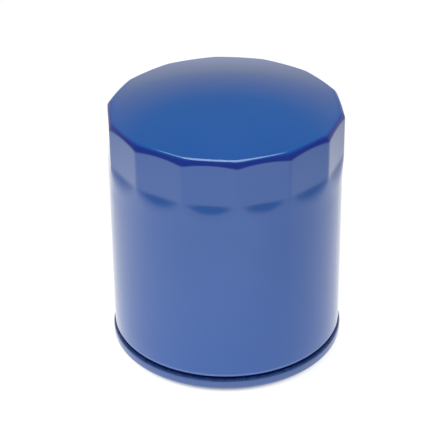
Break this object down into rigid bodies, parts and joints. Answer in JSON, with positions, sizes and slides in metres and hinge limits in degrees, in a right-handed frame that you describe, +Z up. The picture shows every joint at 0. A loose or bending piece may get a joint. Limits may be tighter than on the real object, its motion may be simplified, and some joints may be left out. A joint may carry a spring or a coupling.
{
  "type": "oil filter",
  "caption": "Spin-on engine oil filter: blue fluted steel can, rolled seam, gasket, threaded base plate, and an element with by-pass and anti-drain-back valves inside.",
  "frame": {"origin": "centre of the gasket's sealing face, which the filter stands on", "axes": "+Z up along the can's axis towards the domed end; +X through a ridge between two flutes; a flute faces -Y"},
  "size_m": [0.0772, 0.077, 0.0872],
  "materials": {
    "blue_enamel": "gloss",
    "sealing_compound": "matte",
    "plate_steel": "satin",
    "tin_plate": "satin",
    "spring_steel": "satin",
    "black_rubber": "matte",
    "valve_rubber": "matte",
    "plastisol": "matte",
    "filter_paper": "matte"
  },
  "bodies": {
    "housing": {"can": "blue_enamel", "seaming_cover": "blue_enamel", "seam_sealant": "sealing_compound", "tapping_plate": "plate_steel", "gasket": "black_rubber", "spring_seat": "tin_plate"},
    "element": {"lower_end_cap": "tin_plate", "upper_end_cap": "tin_plate", "lower_bond": "plastisol", "upper_bond": "plastisol", "center_tube": "tin_plate", "pleated_media": "filter_paper", "media_seam_clip": "tin_plate", "bypass_body": "tin_plate", "bypass_cage": "tin_plate", "bypass_spring": "spring_steel", "hold_down_spring": "spring_steel"},
    "bypass_valve": {"bypass_seal": "black_rubber", "bypass_poppet": "tin_plate", "bypass_stem": "tin_plate"},
    "drainback_valve": {"anti_drainback_valve": "valve_rubber"}
  },
  "joints": [
    {"name": "element_lift", "type": "slide", "parent": "housing", "child": "element", "axis": [0, 0, 1], "range_m": [0, 0.003], "stiffness_N_per_m": 8000, "springref_m": -0.0075, "deforming": ["hold_down_spring"]},
    {"name": "bypass_lift", "type": "slide", "parent": "element", "child": "bypass_valve", "axis": [0, 0, -1], "range_m": [0, 0.004], "stiffness_N_per_m": 2500, "springref_m": -0.0078, "deforming": ["bypass_spring"]},
    {"name": "drainback_flap", "type": "slide", "parent": "housing", "child": "drainback_valve", "axis": [0, 0, 1], "range_m": [0, 0.0018], "stiffness_N_per_m": 250, "springref_m": -0.002, "deforming": ["anti_drainback_valve"]}
  ]
}
